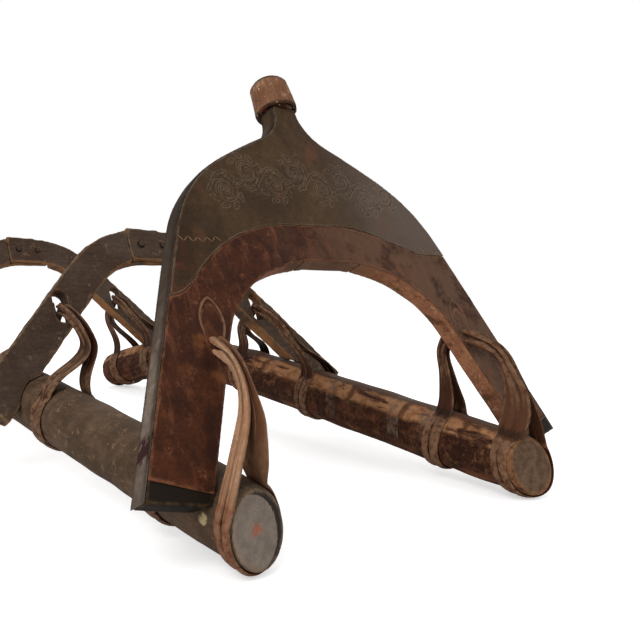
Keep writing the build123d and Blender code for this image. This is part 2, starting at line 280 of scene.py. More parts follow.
def rub_group():
    """Wear: raised edges rubbed to one colour, hollows filled with another, both broken up."""
    group, start, end = shader_group(
        "edge_rub",
        [("Colour", "colour", None), ("Where", "direction", None), ("Raised", "number", 0.0),
         ("Rubbed", "colour", None), ("Grime", "colour", None), ("Rub", "number", 0.7),
         ("Dirt", "number", 0.7)],
        [("Colour", "colour")],
    )
    make = Nodes(group)
    take = start.outputs
    broken = make.steps(make.noise(take["Where"], 160, 5, 0.7), 0.3, 0.65)
    high = make.steps(take["Raised"], 0.25, 0.9)
    low = make.steps(make.times(take["Raised"], -1), 0.2, 0.8)
    share = make.times(make.times(high, broken), take["Rub"])
    colour = make.blend(share, take["Colour"], take["Rubbed"])
    colour = make.blend(make.times(low, take["Dirt"]), colour, take["Grime"])
    group.links.new(colour, end.inputs["Colour"])
    return group


mottled_patches = patches_group()
worn_relief = relief_group()
edge_rub = rub_group()


def new_material(name):
    """An empty node material with its Principled shader, and the means to add nodes."""
    material = bpy.data.materials.new(name)
    material.use_nodes = True
    tree = material.node_tree
    shader = tree.nodes["Principled BSDF"]
    make = Nodes(tree)
    place = make.add("ShaderNodeTexCoord").outputs["Object"]
    return material, make, shader, place


def aged_finish(name, first, second, worn, patch=12.0, spot=90.0, amount=0.4, stretch=(8, 1, 8),
                fibre_scale=60.0, relief=(0.5, 0.3, 0.5), pores=900.0, bump=0.5, depth=0.0006,
                rough=(0.45, 0.75), where=None, rubbed="8a6a50", grime="1c130e", rub=0.7, dirt=0.7,
                gloss=0.06, detail=None):
    """Old wood, leather or hide: mottled, rubbed, with fibres, pores and dents."""
    material, make, shader, place = new_material(name)
    if where:
        place = where(make, place)
    patches = make.add("ShaderNodeGroup", {"node_tree": mottled_patches})
    make.put(patches, "Where", place)
    for socket, code in (("First", first), ("Second", second), ("Worn", worn)):
        make.put(patches, socket, linear(code))
    for socket, value in (("Patch Scale", patch), ("Spot Scale", spot), ("Spot Amount", amount)):
        make.put(patches, socket, value)
    grain = make.add("ShaderNodeGroup", {"node_tree": worn_relief})
    make.put(grain, "Where", place)
    make.put(grain, "Fibre Stretch", stretch)
    for socket, value in (("Fibre Scale", fibre_scale), ("Pore Scale", pores), ("Fibre", relief[0]),
                          ("Pore", relief[1]), ("Dent", relief[2])):
        make.put(grain, socket, value)
    streaks = make.steps(grain.outputs["Fibres"], 0.35, 0.7, 0.8, 1.14)
    colour = make.shade(patches.outputs["Colour"], streaks)
    height = grain.outputs["Height"]
    if detail:
        colour, height = detail(make, place, colour, height)
    rub_node = make.add("ShaderNodeGroup", {"node_tree": edge_rub})
    for socket, value in (("Colour", colour), ("Where", place), ("Raised", make.mask("raised")),
                          ("Rubbed", linear(rubbed)), ("Grime", linear(grime)), ("Rub", rub),
                          ("Dirt", dirt)):
        make.put(rub_node, socket, value)
    make.put(shader, "Base Color", rub_node.outputs[0])
    make.put(shader, "Roughness", make.steps(grain.outputs["Height"], 0.2, 1.1, rough[0], rough[1]))
    make.put(shader, "Specular IOR Level", gloss)
    raised = make.add("ShaderNodeBump", Strength=bump, Distance=depth)
    make.put(raised, "Height", height)
    make.put(shader, "Normal", raised.outputs[0])
    return material


def on_board(make, place):
    """Object coordinates turned into the front arch's plane: across, out behind, up the lean."""
    origin = arch_origins["front"]
    turned = Vector((0, origin.y * math.cos(lean) - origin.z * math.sin(lean),
                     origin.y * math.sin(lean) + origin.z * math.cos(lean)))
    return make.mapping(place, turn=(lean, 0, 0), place=tuple(-turned))


def leg_marks(make, place, colour, height):
    """Board wood: a nearly black foot below the leather, pale rubs, grey crown, dark joint lines."""
    x, _, level = make.parts(place)
    foot = make.steps(level, 0.040, 0.048, start=1, end=0)
    blotches = make.spots(place, scale=46, low=0.5, high=0.62, amount=0.75, detail=6, roughness=0.72)
    colour = make.tint(colour, blotches, "3f2a1d")
    colour = make.tint(colour, make.spots(place, scale=95, low=0.6, high=0.7, amount=0.6), "a98a6c")
    colour = make.tint(colour, foot, "1a140e")
    rust = make.spots(place, scale=130, low=0.66, high=0.72, detail=3, roughness=0.6)
    colour = make.tint(colour, make.times(rust, make.times(foot, 0.6)), "5a2a1c")
    from_middle = make.math("ABSOLUTE", x)
    colour = make.tint(colour, make.steps(from_middle, 0.02, 0.07, start=0.75, end=0), "4a3a2e")
    from_joint = make.apart(from_middle, crown_board_half_width)
    return make.tint(colour, make.steps(from_joint, 0.0005, 0.0011, start=0.95, end=0), "120b07"), height


def plate_marks(make, place, colour, height):
    """Upper leather: dark on the left, grey on the right, rusty stains, tooled grooves with a painted
    highlight on their rims, scratches.
    """
    x, _, level = make.parts(place)
    patchy = make.noise(place, 9, 4, 0.6)
    right = make.steps(make.math("ADD", x, make.times(patchy, 0.12)), 0.06, 0.2)
    colour = make.tint(colour, make.times(right, 0.75), "5c5048")
    colour = make.shade(colour, make.steps(x, -0.17, -0.02, start=0.72, end=1))
    rusty = make.spots(place, scale=26, low=0.56, high=0.72, amount=0.6, roughness=0.6)
    colour = make.tint(colour, rusty, "5c3a28")
    low_left = make.times(make.steps(x, -0.13, -0.175), make.steps(level, 0.25, 0.20))
    patched = make.spots(place, scale=55, low=0.42, high=0.58, detail=6, roughness=0.75)
    colour = make.tint(colour, make.times(low_left, make.times(patched, 0.7)), "4e271c")
    colour = make.tint(colour, make.steps(make.mask("tooling"), 0.35, 0.95, end=0.3), "2a2019")
    # painted highlight: broken light lines on the raised rims beside the tooled grooves
    rims = make.times(make.mask("tooling_rim"), make.spots(place, scale=240, low=0.3, high=0.6, detail=3))
    colour = make.tint(colour, make.times(rims, 0.3), "8f7d6a")
    scratches = make.noise(make.mapping(place, scale=(1, 1, 9), turn=(0, 0.3, 0)), 70, 3, 0.8, 0.2)
    colour = make.tint(colour, make.steps(scratches, 0.68, 0.74, end=0.35), "7c6c5a")
    streaks = make.noise(make.mapping(place, scale=(1, 1, 3), turn=(0, 0.5, 0)), 24, 6, 0.8, 0.4)
    return make.tint(colour, make.steps(streaks, 0.54, 0.74, end=0.3), "684a38"), height


def band_marks(make, place, colour, height):
    """Lower leather: redder and more orange down the left leg, browner to the right, rubbed rims."""
    x, _, level = make.parts(place)
    patchy = make.noise(place, 14, 5, 0.65)
    right = make.steps(make.math("ADD", x, make.times(patchy, 0.16)), -0.02, 0.16)
    colour = make.tint(colour, make.times(right, 0.85), "5a4334")
    blotches = make.spots(place, scale=22, low=0.52, high=0.66, amount=0.7, detail=6)
    left = make.steps(x, -0.14, -0.06, start=1, end=0.25)
    colour = make.tint(colour, make.times(blotches, left), "6a3f24")
    upright = make.noise(make.mapping(place, scale=(3, 3, 0.8)), 22, 6, 0.75, 0.3)
    colour = make.tint(colour, make.steps(upright, 0.5, 0.68, end=0.55), "744630")
    dark = make.spots(place, scale=31, low=0.46, high=0.64, amount=0.85, detail=6, roughness=0.75)
    colour = make.tint(colour, dark, "2e1a13")
    foot_line = make.math("ADD", level, make.times(make.math("ABSOLUTE", x), -0.35))
    low = make.steps(foot_line, -0.041, -0.036, start=0.8, end=0)
    broken = make.spots(place, scale=90, low=0.4, high=0.6, detail=4, roughness=0.6)
    colour = make.tint(colour, make.times(low, broken), "74452f")
    colour = make.tint(colour, make.steps(make.mask("tooling"), 0.2, 0.9, end=0.7), "1c100b")
    rims = make.times(make.mask("tooling_rim"), make.spots(place, scale=240, low=0.25, high=0.6, detail=3))
    return make.tint(colour, make.times(rims, 0.6), "9a7a5e"), height


def left_pole_marks(make, place, colour, height):
    """Left pole: grey end with painted shade in a crescent on the inner side of its rim and a rusty spot, a
    pale chip on its side.
    """
    tones = make.spots(place, scale=120, low=0.35, high=0.65, detail=4)
    speckle = make.steps(make.noise(place, 900, 2), 0.3, 0.7, start=0.88, end=1.08)
    grey = make.shade(make.tint(linear("6c6158"), tones, "7b6f64"), speckle)
    colour = make.blend(make.steps(make.mask("end_face"), 0.4, 0.75), colour, grey)
    # painted shade: dark crescent on the inner side of the end face's rim
    colour = make.tint(colour, make.steps(make.mask("rim"), 0.3, 0.8), "2a2521")
    broken = make.spots(place, scale=420, low=0.3, high=0.6, amount=1.3, detail=4, roughness=0.8, least=0.45)
    rusty = make.steps(make.times(make.mask("rust"), broken), 0.1, 1.1, end=0.65)
    colour = make.tint(colour, rusty, "96492a")
    ragged = make.spots(place, scale=260, low=0.3, high=0.65, amount=1.3, roughness=0.8, least=0.3)
    chip = make.steps(make.times(make.mask("filler"), ragged), 0.3, 0.65)
    return make.tint(colour, chip, "a08f6c"), height


def right_pole_marks(make, place, colour, height):
    """Right pole: long orange patches rubbed through on top, dark tarry sides, greyed rings."""
    along, around = make.mask("along"), make.mask("around")
    spread = make.add("ShaderNodeCombineXYZ")
    make.put(spread, "0", make.times(along, 7))
    make.put(spread, "1", make.times(around, 2.4))
    patchy = make.noise(spread.outputs[0], 2.4, 6, 0.62, 0.3)
    ragged = make.math("ADD", around, make.times(make.noise(place, 60, 5, 0.7), 0.16))
    upper = make.steps(make.math("ABSOLUTE", make.math("ADD", ragged, 0.155)), 0.08, 0.15, start=1, end=0)
    greyed = make.steps(make.apart(ragged, 0.14), 0.1, 0.2, start=0.75, end=0)
    colour = make.tint(colour, greyed, "5a4a3f")
    rubbed = make.times(make.steps(patchy, 0.40, 0.52), upper)
    gaps = make.math("ABSOLUTE", make.math("SINE", make.math("ADD", make.times(along, 38), patchy)))
    rubbed = make.times(rubbed, make.steps(gaps, 0.06, 0.24, start=0.25, end=1))
    tone = make.tint(linear("855a3c"), make.spots(place, scale=85, low=0.35, high=0.65), "a97b56")
    colour = make.blend(make.times(rubbed, 0.85), colour, tone)
    below = make.steps(make.math("ABSOLUTE", around), 0.62, 0.8)
    stripe = make.times(below, make.steps(patchy, 0.46, 0.58, end=0.8))
    colour = make.tint(colour, stripe, "7a4f30")
    bare = make.math("SUBTRACT", 1, rubbed)
    rust = make.spots(place, scale=38, low=0.5, high=0.62, amount=0.7, detail=6, roughness=0.75)
    colour = make.tint(colour, make.times(rust, bare), "5c3524")
    speck = make.spots(place, scale=210, low=0.55, high=0.66, amount=0.55, roughness=0.75)
    colour = make.tint(colour, make.times(speck, bare), "6a4430")
    broken = make.spots(place, scale=130, low=0.4, high=0.6, roughness=0.75)
    colour = make.tint(colour, make.times(make.mask("ring_mark"), make.times(broken, 0.8)), "5a4c40")
    line = make.times(make.mask("ring_line"), broken)
    colour = make.tint(colour, make.times(line, 0.6), "8d7a66")
    tones = make.spots(place, scale=140, low=0.35, high=0.65, detail=4)
    grain = make.tint(linear("4c3a2c"), tones, "66503e")
    return make.blend(make.steps(make.mask("end_face"), 0.4, 0.75), colour, grain), height


def slender_marks(make, place, colour, height):
    """Slender arches: inner and upper edges worn to orange brown."""
    soffit = make.times(make.mask("soffit"), make.spots(place, scale=30, low=0.34, high=0.6, roughness=0.6))
    return make.tint(colour, make.times(soffit, 0.8), "93653f"), height


def rawhide_marks(make, place, colour, height):
    """Rawhide: tan outside, painted shade in red brown on the inner strands and inner faces, red brown stains
    low down, long creases along the strap.
    """
    flat = make.add("ShaderNodeUVMap", {"uv_map": "strap"}).outputs[0]
    run, wide, _ = make.parts(flat)
    lines = make.add("ShaderNodeCombineXYZ")
    make.put(lines, "0", make.times(run, 9))
    make.put(lines, "1", make.times(wide, 240))
    crease = make.noise(lines.outputs[0], 1.6, 5, 0.7, 0.3)
    colour = make.tint(colour, make.steps(crease, 0.46, 0.68, end=0.7), "5e3a28")
    pale = make.spots(lines.outputs[0], scale=2.7, low=0.58, high=0.7, amount=0.55, detail=4, roughness=0.6)
    colour = make.tint(colour, pale, "c09a78")
    # painted shade: red brown over the inner strands above the pole and over the faces against the pole
    colour = make.tint(colour, make.times(make.mask("inner"), 0.8), "74482f")
    stained = make.spots(place, scale=70, low=0.3, high=0.6, least=0.8)
    colour = make.tint(colour, make.times(make.steps(make.mask("round_pole"), 0.1, 0.9), stained), "5c2612")
    colour = make.tint(colour, make.times(make.mask("darkened"), 0.95), "371d12")
    edge = make.steps(make.mask("strap_edge"), 0.55, 1.0, end=0.8)
    return make.tint(colour, edge, "2e1a12"), make.math("ADD", height, make.times(crease, 1.6))


def knob_marks(make, place, colour, height):
    """Knob: upright grain, painted shade on its underside, a dark top rim, smoky and pale places, pale chips.
    """
    _, _, level = make.parts(place)
    grain = make.noise(make.mapping(place, scale=(9, 9, 1)), 60, 5, 0.65, 0.4)
    colour = make.tint(colour, make.steps(grain, 0.45, 0.68, end=0.7), "6a4632")
    # painted shade: the lowest few millimetres of the knob, its underside, darkened nearly to black
    low = make.steps(level, board_height + 0.0015, board_height + 0.0045, start=0.95, end=0)
    colour = make.tint(colour, low, "1d0f0a")
    red = make.spots(place, scale=75, low=0.56, high=0.68, amount=0.6, detail=4, roughness=0.6)
    colour = make.tint(colour, red, "7c4430")
    colour = make.tint(colour, make.spots(place, scale=48, low=0.46, high=0.62, amount=0.6), "583c2b")
    colour = make.tint(colour, make.spots(place, scale=62, low=0.56, high=0.68, amount=0.5), "a88a6c")
    top = make.steps(level, board_height + 0.0314, board_height + 0.0324, end=0.97)
    colour = make.tint(colour, top, "17100b")
    chips = make.steps(make.noise(make.mapping(place, scale=(1, 1, 0.5)), 330, 2), 0.68, 0.72, end=0.9)
    return make.tint(colour, chips, "d2b898"), make.math("ADD", height, grain)


def edge_marks(make, place, colour, height):
    """Edge binding: a smooth roll with painted shade along both borders, grey at the feet and darker up, a
    purple worn place near the left foot.
    """
    x, depth, level = make.parts(place)
    near = make.times(make.steps(level, 0.052, 0.058), make.steps(level, 0.07, 0.076, start=1, end=0))
    near = make.times(near, make.steps(x, -0.2, -0.1, start=1, end=0))
    worn = make.spots(place, scale=120, low=0.46, high=0.52, detail=4, roughness=0.6)
    colour = make.tint(colour, make.times(near, worn), "35201f")
    for low, high, amount, code in ((0.10, 0.22, 0.85, "2e251d"), (0.22, 0.30, 0.9, "251b14"),
                                    (0.355, 0.365, 0.8, "4a3a2c")):
        colour = make.tint(colour, make.steps(level, low, high, end=amount), code)
    # painted shade: both borders of the roll darkened, so only its middle stays light
    border = make.apart(depth, board_thickness / 2)
    colour = make.tint(colour, make.steps(border, 0.0035, 0.0095, end=0.8), "2a231e")
    return make.tint(colour, make.steps(level, 0.03, 0.06, start=0.7, end=0), "4c443c"), height


pole_look = dict(stretch=(6, 1, 6), fibre_scale=45, relief=(0.9, 0.2, 0.8), depth=0.0009)
left_pole_finish = aged_finish("left_pole_finish", "5e4a3a", "4a3a2c", "86694f", patch=30, spot=120,
                               amount=0.5, rubbed="806c58", detail=left_pole_marks, **pole_look)
right_pole_finish = aged_finish("right_pole_finish", "3a2216", "2c1710", "5a3a26", patch=34, spot=70,
                                amount=0.6, rubbed="8a6040", detail=right_pole_marks, **pole_look)
board_finish = aged_finish("board_finish", "96664a", "80543c", "a67a5c", patch=20, spot=60, amount=0.5,
                           stretch=(1, 6, 6), fibre_scale=60, where=on_board, detail=leg_marks,
                           rubbed="8a6a4c", rub=0.2, depth=0.0007)
slender_finish = aged_finish("slender_finish", "4e4036", "44342a", "6a5646", patch=16, spot=60, amount=0.5,
                             stretch=(1, 7, 7), fibre_scale=45, relief=(0.9, 0.2, 0.7), depth=0.0009,
                             rubbed="8a6a4a", detail=slender_marks)
upper_leather = aged_finish("upper_leather", "3b2b1d", "4a3826", "584838", patch=14, spot=110, amount=0.42,
                            stretch=(1, 1, 1), fibre_scale=200, relief=(0.3, 0.7, 0.8), depth=0.0007,
                            bump=0.8, rough=(0.42, 0.62), where=on_board, detail=plate_marks,
                            rubbed="6e6254", rub=0.5)
band_leather = aged_finish("band_leather", "4a2818", "3a2016", "66402a", patch=20, spot=90, amount=0.5,
                           stretch=(1, 1, 1), fibre_scale=180, relief=(0.4, 0.6, 1.0), depth=0.0008,
                           bump=0.8, rough=(0.4, 0.65), where=on_board, detail=band_marks,
                           rubbed="84583f", rub=0.5)
edge_leather = aged_finish("edge_leather", "74665a", "5e5045", "857668", patch=40, spot=60, amount=0.5,
                           stretch=(1, 1, 1), fibre_scale=150, relief=(0.2, 0.3, 0.3), depth=0.0002,
                           rough=(0.6, 0.8), where=on_board, detail=edge_marks, rubbed="857a70",
                           grime="2e2823", rub=0.25, gloss=0.01)
knob_finish = aged_finish("knob_finish", "805c44", "6e4a34", "9a765a", patch=60, spot=200, amount=0.3,
                          stretch=(8, 8, 1), fibre_scale=70, relief=(0.9, 0.2, 0.3), depth=0.0007,
                          where=on_board, detail=knob_marks, rubbed="6e4e38", rub=0.2)
cap_finish = aged_finish("cap_finish", "1d120c", "2a1a12", "4a3226", patch=60, spot=200, amount=0.2,
                         stretch=(1, 1, 1), fibre_scale=100, depth=0.0002)
peg_finish = aged_finish("peg_finish", "4a3c32", "3c3028", "5e4c3e", patch=80, spot=200, amount=0.3,
                         stretch=(1, 1, 1), fibre_scale=300, depth=0.0002)
rawhide_finish = aged_finish("rawhide_finish", "bd9474", "a27658", "cba684", patch=22, spot=110, amount=0.4,
                             stretch=(2, 2, 1), fibre_scale=150, relief=(0.4, 0.2, 0.4), depth=0.0006,
                             rough=(0.42, 0.68), detail=rawhide_marks)
thread_finish = aged_finish("thread_finish", "7d6a55", "66543f", "94806a", patch=200, spot=500, amount=0.4,
                            stretch=(1, 1, 1), fibre_scale=900, depth=0.0001)

node_slots = {entry["node"]: entry["material_slot"] for entry in frame["record"]["subparts"]}
slot_finishes = {
    "arch_wood": board_finish,
    "upper_leather": upper_leather,
    "band_leather": band_leather,
    "edge_leather": edge_leather,
    "knob_wood": knob_finish,
    "cap_wood": cap_finish,
    "peg_wood": peg_finish,
    "rawhide": rawhide_finish,
}


# Mesh work
def link(mesh, name):
    """A new object for a mesh, at the origin."""
    made = bpy.data.objects.new(name, mesh)
    bpy.context.collection.objects.link(made)
    return made


def numbers_of(items, field, width=3):
    """One field of mesh points, edges or faces as rows of numbers."""
    values = np.empty(len(items) * width, np.float32 if width == 3 else np.int32)
    items.foreach_get(field, values)
    return values.reshape(-1, width)


def move_points(mesh, points):
    """Puts a mesh's points at new places."""
    mesh.vertices.foreach_set("co", np.asarray(points, np.float32).ravel())
    mesh.update()


def store(mesh, name, values):
    """Keep a number for each point on the mesh, for its material to read."""
    attribute = mesh.attributes.get(name) or mesh.attributes.new(name, "FLOAT", "POINT")
    attribute.data.foreach_set("value", np.asarray(values, np.float32))


def swells(points, size, seed):
    """Smooth uneven swells of about one size, between about -1 and 1."""
    random = np.random.default_rng(seed)
    total = np.zeros(len(points))
    for _ in range(16):
        heading = random.normal(size=3)
        heading *= 2 * math.pi / size * random.uniform(0.6, 1.4) / np.linalg.norm(heading)
        total += np.sin(points @ heading + random.uniform(0, 2 * math.pi))
    return total / 4


def smooth_step(values, low, high):
    """0 at low and 1 at high, with a smooth run between them."""
    share = np.clip((values - low) / (high - low), 0, 1)
    return share * share * (3 - 2 * share)


def skin_of(mesh):
    """The places of a mesh's points, and which way each one faces."""
    return numbers_of(mesh.vertices, "co").astype(float), numbers_of(mesh.vertices, "normal").astype(float)


def ridge(distance, width, middle=0.0, power=2):
    """A smooth ridge: 1 at its middle, falling towards 0 past its width."""
    return np.exp(-(((distance - middle) / width) ** power))


def ring_faces(rings, count, base=0):
    """Four-sided faces between closed rings of points that follow one another."""
    faces = []
    for low in range(base, base + (rings - 1) * count, count):
        for step in range(count):
            beside = (step + 1) % count
            faces.append((low + step, low + count + step, low + count + beside, low + beside))
    return faces


def rub_mask(mesh, reach):
    """Stores how far each point stands proud of its surroundings: 1 on a sharp edge, -1 in a crease."""
    points = numbers_of(mesh.vertices, "co").astype(float)
    edges = numbers_of(mesh.edges, "vertices", 2)
    count = np.maximum(np.bincount(edges.ravel(), minlength=len(points)), 1)[:, None]
    soft = points.copy()
    for _ in range(6):
        total = np.zeros_like(soft)
        for axis in range(3):
            total[:, axis] = np.bincount(edges[:, 0], soft[edges[:, 1], axis], len(points))
            total[:, axis] += np.bincount(edges[:, 1], soft[edges[:, 0], axis], len(points))
        soft = total / count
    normals = numbers_of(mesh.vertices, "normal").astype(float)
    store(mesh, "raised", np.clip(((points - soft) * normals).sum(1) / reach, -1, 1))


def worn_copy(node, name, cell, rounds, arch=None):
    """An even, soft-edged copy of a CAD node, in its arch's plane if it has one."""
    mesh = frame["nodes"][node].data.copy()
    shape = bmesh.new()
    shape.from_mesh(mesh)
    bmesh.ops.remove_doubles(shape, verts=shape.verts, dist=1e-6)
    shape.to_mesh(mesh)
    shape.free()
    if arch:
        move_points(mesh, in_arch(numbers_of(mesh.vertices, "co"), arch))
    rough = link(mesh, node + "_rough")
    grid = rough.modifiers.new("even_grid", "REMESH")
    grid.mode = "VOXEL"
    grid.voxel_size = cell
    soft = rough.modifiers.new("soft_edges", "SMOOTH")
    soft.factor = 0.5
    soft.iterations = rounds
    view = bpy.context.evaluated_depsgraph_get()
    worn = bpy.data.meshes.new_from_object(rough.evaluated_get(view))
    bpy.data.objects.remove(rough)
    worn.name = name
    return worn


def closed_mesh(name, points, faces):
    """A mesh from points and faces, turned to face outwards."""
    mesh = bpy.data.meshes.new(name)
    mesh.from_pydata([tuple(point) for point in points], [], faces)
    shape = bmesh.new()
    shape.from_mesh(mesh)
    bmesh.ops.recalc_face_normals(shape, faces=shape.faces)
    shape.to_mesh(mesh)
    shape.free()
    return mesh


def settle(mesh, name, nodes, finish, arch=None, reach=0.0006):
    """Puts a finished mesh in place as one piece that stands for its CAD nodes."""
    if arch:
        move_points(mesh, out_of_arch(numbers_of(mesh.vertices, "co"), arch))
    rub_mask(mesh, reach)
    piece = link(mesh, name)
    piece.data.materials.clear()
    piece.data.materials.append(finish)
    mesh.polygons.foreach_set("use_smooth", np.ones(len(mesh.polygons), bool))
    mesh.polygons.foreach_set("material_index", np.zeros(len(mesh.polygons), np.int32))
    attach(piece, "root")
    if nodes:
        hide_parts(*nodes)
    return piece


# Front arch boards, rubbed round along their edges, a little uneven behind
for name in ("front_arch_leg_left", "front_arch_leg_right", "front_arch_crown"):
    mesh = worn_copy(name, name + "_worn", 0.0018, 3, "front")
    points, normals = skin_of(mesh)
    behind = smooth_step(-points[:, 2], 0.004, 0.009)
    points += normals * (behind * (0.0003 * swells(points, 0.035, 3) - 0.0002))[:, None]
    move_points(mesh, points)
    settle(mesh, name + "_worn", [name], board_finish, "front", 0.0009)

# Tooling on the front leather, in the arch's plane: a wavy stem with a scroll in each bend
leather_cell = 0.00085
vine_height = 0.301
vine_droop = 0.017
vine_half_length = 0.115
stem_ends = (-0.120, 0.114)
stem_swing = 0.011
scroll_spacing = 0.029
first_scroll = -0.1015
last_scroll = 0.105
scroll_offset = 0.0085
scroll_radius = 0.0125
ring_radius = 0.0150
scroll_start = 1.9
leaves_round_ring = 4
leaf_length = 0.0085
long_leaf_root = 0.012
groove_width = 0.0005
groove_depth = 0.00026
rim_height = 0.0001
rim_distance = 0.0012


def spiral(centre, radius, turns, start, hand):
    """A scroll winding in to its eye."""
    shares = np.linspace(0, 1, 60)
    angle = start + hand * turns * 2 * math.pi * shares
    reach = radius * (1 - 0.85 * shares)
    return np.stack([centre[0] + reach * np.cos(angle), centre[1] + reach * np.sin(angle)], 1)


def drawn_line(points, spacing=0.0003):
    """The same line with points close together."""
    runs = np.linalg.norm(np.diff(points, axis=0), axis=1)
    total = np.concatenate([[0], np.cumsum(runs)])
    places = np.arange(0, total[-1], spacing)
    return np.stack([np.interp(places, total, points[:, axis]) for axis in (0, 1)], 1)


def distance_to(lines, places, reach=0.004):
    """How far each flat place is from the nearest drawn line, and 1 past the lines' surroundings."""
    dots = np.concatenate([drawn_line(np.asarray(line, float)) for line in lines])
    tree = kdtree.KDTree(len(dots))
    for index, (x, t) in enumerate(dots):
        tree.insert((x, t, 0), index)
    tree.balance()
    low, high = dots.min(0) - reach, dots.max(0) + reach
    result = np.full(len(places), 1.0)
    near = np.where(((places > low) & (places < high)).all(1))[0]
    for index in near:
        result[index] = tree.find((places[index, 0], places[index, 1], 0))[2]
    return result


def vine_level(x):
    """Middle height of the scroll band."""
    return vine_height - vine_droop * (x / vine_half_length) ** 2


def comma(root, angle, length, hand):
    """A curled leaf: two arcs from one root, the second one swelling beside the first."""
    shares = np.linspace(0, 1, 20)
    lines = []
    for bend, swell in ((0.9, 0.0), (0.9, 0.30)):
        turn = angle + hand * bend * shares
        step = length / 20 * (1 - 0.2 * shares)
        line = np.array(root) + np.cumsum(np.stack([np.cos(turn) * step, np.sin(turn) * step], 1), 0)
        beside = np.stack([-np.sin(turn), np.cos(turn)], 1) * hand
        lines.append(line + beside * (swell * length * np.sin(math.pi * shares))[:, None])
    return lines


def facing_front(points, normals, least):
    """1 on the front of a leather, 0 on its back and its edges."""
    return smooth_step(normals[:, 2], 0.5, 0.9) * (points[:, 2] > least)


stem = np.linspace(*stem_ends, 160)
scroll_lines = [np.stack([stem, vine_level(stem) + stem_swing * np.sin(stem * math.pi / scroll_spacing)], 1)]
for index, x in enumerate(np.arange(first_scroll, last_scroll, scroll_spacing)):
    hand = 1 if index % 2 else -1
    centre = (x, vine_level(x) + hand * scroll_offset)
    for radius, turns in ((scroll_radius, 2.3), (ring_radius, 0.75)):
        scroll_lines.append(spiral(centre, radius, turns, -hand * scroll_start, hand))
    for step in range(leaves_round_ring):
        angle = hand * (0.1 + 0.75 * step)
        root = (x + ring_radius * math.cos(angle), centre[1] + ring_radius * math.sin(angle))
        scroll_lines += comma(root, angle + hand * 0.9, leaf_length, hand)
    root = (x + long_leaf_root * math.cos(-hand * scroll_start),
            centre[1] + long_leaf_root * math.sin(-hand * scroll_start))
    for angle, length, curl in ((-hand * 2.3, 0.019, -hand), (-hand * 0.9, 0.016, hand)):
        scroll_lines += comma(root, angle, length, curl)

mesh = worn_copy("front_skin_upper", "front_leather_upper", leather_cell, 3, "front")
points, normals = skin_of(mesh)
facing = facing_front(points, normals, 0.0006)
away = distance_to(scroll_lines, points[:, :2])
points[:, 2] += facing * (
    rim_height * ridge(away, groove_width, rim_distance) - groove_depth * ridge(away, groove_width)
    + 0.00015 * swells(points, 0.03, 5)
)
move_points(mesh, points)
store(mesh, "tooling", facing * ridge(away, 0.0006))
store(mesh, "tooling_rim", facing * ridge(away, groove_width, rim_distance))
settle(mesh, "front_leather_upper", ["front_skin_upper"], upper_leather, "front", 0.0003)


def almond(top, bottom, width):
    """An almond outline between two points."""
    shares = np.linspace(0, 2 * math.pi, 70)
    middle = (np.array(top) + np.array(bottom)) / 2
    axis = (np.array(top) - np.array(bottom)) / 2
    beside = np.array([axis[1], -axis[0]]) / np.linalg.norm(axis)
    reach = np.sign(np.sin(shares)) * np.abs(np.sin(shares)) ** 1.4
    return middle + np.cos(shares)[:, None] * axis + (width / 2 * reach)[:, None] * beside


def scribble(side):
    """Loose scratches inside the seam above a slot."""
    turns = np.linspace(0, 9, 90)
    return np.stack([side * (front_slot_x - 0.002) + 0.0035 * np.sin(turns * 2.3),
                     front_slot_level + 0.019 + 0.0045 * np.cos(turns * 1.7)], 1)


# Lower leather, with a raised almond seam above each slot, the left one bolder
seams = [almond((side * (front_slot_x - 0.003), front_slot_level + 0.029),
                (side * front_slot_x, front_slot_level - 0.012), 0.021) for side in sides.values()]
mesh = worn_copy("front_skin_lower", "front_leather_lower", leather_cell, 2, "front")
points, normals = skin_of(mesh)
facing = facing_front(points, normals, 0.0005)
away = distance_to(seams, points[:, :2])
scratched = distance_to([scribble(side) for side in sides.values()], points[:, :2])
on_left = points[:, 0] < 0
points[:, 2] += facing * (
    np.where(on_left, 0.0008, 0.0003) * ridge(away, 0.0011) - 0.0003 * ridge(scratched, 0.0006)
    + 0.0003 * swells(points, 0.028, 7) + 0.0002 * swells(points, 0.011, 8)
)
move_points(mesh, points)
store(mesh, "tooling", facing * (ridge(scratched, 0.0007) + 0.7 * ridge(away, 0.0008, 0.0021)))
store(mesh, "tooling_rim", facing * np.where(on_left, 0.8, 0.25) * ridge(away, 0.0009))
settle(mesh, "front_leather_lower", ["front_skin_lower"], band_leather, "front", 0.0003)

# Domed leather tongue over the upper part of each slot
tongue_crests = {"left": 0.0265, "right": 0.0205}
tongue_foot = 0.0235
tongue_width = 0.0225
tongue_rim = 0.0011
tongue_dome = 0.0007
tongue_back = 0.0002
tongue_rings = 12


